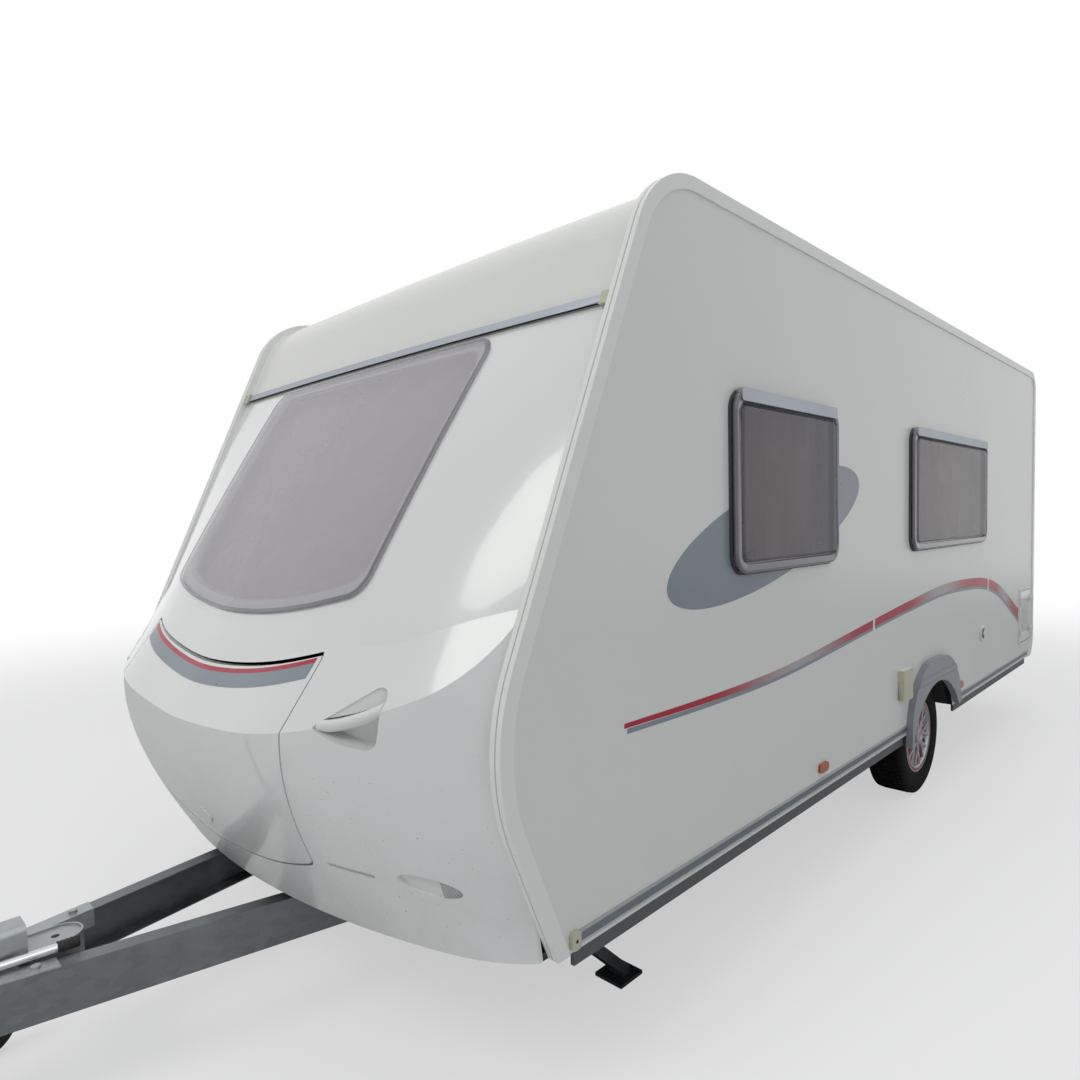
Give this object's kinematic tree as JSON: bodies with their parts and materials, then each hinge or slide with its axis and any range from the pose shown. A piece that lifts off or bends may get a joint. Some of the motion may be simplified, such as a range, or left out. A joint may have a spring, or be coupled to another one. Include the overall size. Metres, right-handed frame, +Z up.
{
  "type": "travel caravan",
  "caption": "Single-axle travel caravan with raked moulded nose, gas locker lid, side windows, entrance door, drawbar with overrun coupling, jockey wheel and corner steadies.",
  "frame": {"origin": "on the ground, under the middle of the box round the whole caravan, coupling to tail", "axes": "+X to the left side, -Y towards the coupling, +Z up"},
  "size_m": [2.372, 6.75, 2.536],
  "materials": {
    "galvanised": "hot-dip galvanised, dull, lightly spangled",
    "body_white": "off-white painted aluminium sheet, semi-gloss",
    "moulding_white": "off-white gel-coated moulding, glossy",
    "floor_board": "dark sealed plywood",
    "liner_black": "black moulded liner",
    "rail_silver": "satin anodised",
    "corner_white": "pale grey coated aluminium rail",
    "cream_plastic": "sun-yellowed cream plastic",
    "skirt_grey": "dark grey strip",
    "acrylic": "smoked acrylic, glossy",
    "seal_black": "dark window seal",
    "curtain": "pale pink pleated curtain",
    "fender_grey": "silver grey moulding",
    "lens_clear": "clear lens",
    "lens_red": "red lens",
    "lens_amber": "amber lens",
    "white_plastic": "white plastic",
    "cast_grey": "cast and zinc-plated",
    "black_rubber": "black rubber",
    "steady_dark": "dark coated pressed steel",
    "rim_silver": "silver trim with red edging",
    "tyre": "black road tyre",
    "bright_steel": "bright plated steel"
  },
  "bodies": {
    "root": {"drawbar_left": "galvanised", "drawbar_right": "galvanised", "chassis_rails": "galvanised", "cross_members": "galvanised", "axle_beam": "galvanised", "trailing_arms": "cast_grey", "floor": "floor_board", "locker_tub": "floor_board", "left_wall": "body_white", "right_wall": "body_white", "front_cap": "body_white", "front_moulding": "moulding_white", "roof": "body_white", "rear_panel": "body_white", "awning_rails": "corner_white", "front_rail": "rail_silver", "rail_caps": "cream_plastic", "sill_trims": "rail_silver", "skirts": "skirt_grey", "front_window": "acrylic", "window_frames": "seal_black", "window_panes": "acrylic", "window_rails": "rail_silver", "curtains": "curtain", "curtain_rails": "white_plastic", "fenders": "fender_grey", "wheel_boxes": "liner_black", "grab_handles": "moulding_white", "front_lamps": "lens_clear", "rear_lamps": "lens_red", "side_reflectors": "lens_amber", "side_fittings": "cream_plastic", "fridge_vents": "white_plastic", "rooflights": "white_plastic", "service_bay": "white_plastic", "overrun_housing": "cast_grey", "coupling_head": "cast_grey", "bellows": "black_rubber", "handbrake_lever": "bright_steel", "jockey_clamp": "galvanised", "steady_brackets": "galvanised", "jockey_post": "galvanised"},
    "wheel_left": {"wheel_left": "rim_silver", "tyre_left": "tyre"},
    "wheel_right": {"wheel_right": "rim_silver", "tyre_right": "tyre"},
    "door": {"door_panel": "body_white", "door_window": "acrylic", "door_fittings": "liner_black"},
    "locker_lid": {"locker_lid": "moulding_white"},
    "service_hatch": {"service_hatch": "white_plastic"},
    "jockey_leg": {"jockey_leg": "galvanised"},
    "jockey_fork": {"jockey_fork": "galvanised"},
    "jockey_wheel": {"jockey_wheel": "black_rubber"},
    "steady_front_left": {"steady_front_left": "steady_dark"},
    "steady_front_right": {"steady_front_right": "steady_dark"},
    "steady_rear_left": {"steady_rear_left": "steady_dark"},
    "steady_rear_right": {"steady_rear_right": "steady_dark"}
  },
  "joints": [
    {"name": "wheel_left_spin", "type": "hinge", "parent": "root", "child": "wheel_left", "pos_m": [1, 1.065, 0.302], "axis": [1, 0, 0], "continuous": true},
    {"name": "wheel_right_spin", "type": "hinge", "parent": "root", "child": "wheel_right", "pos_m": [-1, 1.065, 0.302], "axis": [1, 0, 0], "continuous": true},
    {"name": "door_hinge", "type": "hinge", "parent": "root", "child": "door", "pos_m": [-1.172, -0.057, 1.3], "axis": [0, 0, 1], "range_deg": [0, 170]},
    {"name": "locker_lid_hinge", "type": "hinge", "parent": "root", "child": "locker_lid", "pos_m": [0, -2.115, 1.145], "axis": [-1, 0, 0], "range_deg": [0, 75]},
    {"name": "service_hatch_hinge", "type": "hinge", "parent": "root", "child": "service_hatch", "pos_m": [1.164, 2.942, 0.73], "axis": [0, 0, -1], "range_deg": [0, 120]},
    {"name": "jockey_wind", "type": "slide", "parent": "root", "child": "jockey_leg", "axis": [0, 0, 1], "range_m": [0, 0.09]},
    {"name": "jockey_swivel", "type": "hinge", "parent": "jockey_leg", "child": "jockey_fork", "pos_m": [-0.24354, -2.735, 0.19], "axis": [0, 0, 1], "continuous": true},
    {"name": "jockey_roll", "type": "hinge", "parent": "jockey_fork", "child": "jockey_wheel", "pos_m": [-0.24354, -2.715, 0.09], "axis": [1, 0, 0], "continuous": true},
    {"name": "steady_front_left_swing", "type": "hinge", "parent": "root", "child": "steady_front_left", "pos_m": [0.88, -1.548, 0.345], "axis": [1, 0, 0], "range_deg": [0, 44]},
    {"name": "steady_front_right_swing", "type": "hinge", "parent": "root", "child": "steady_front_right", "pos_m": [-0.88, -1.548, 0.345], "axis": [1, 0, 0], "range_deg": [0, 44]},
    {"name": "steady_rear_left_swing", "type": "hinge", "parent": "root", "child": "steady_rear_left", "pos_m": [0.88, 3.045, 0.345], "axis": [1, 0, 0], "range_deg": [0, 44]},
    {"name": "steady_rear_right_swing", "type": "hinge", "parent": "root", "child": "steady_rear_right", "pos_m": [-0.88, 3.045, 0.345], "axis": [1, 0, 0], "range_deg": [0, 44]}
  ]
}
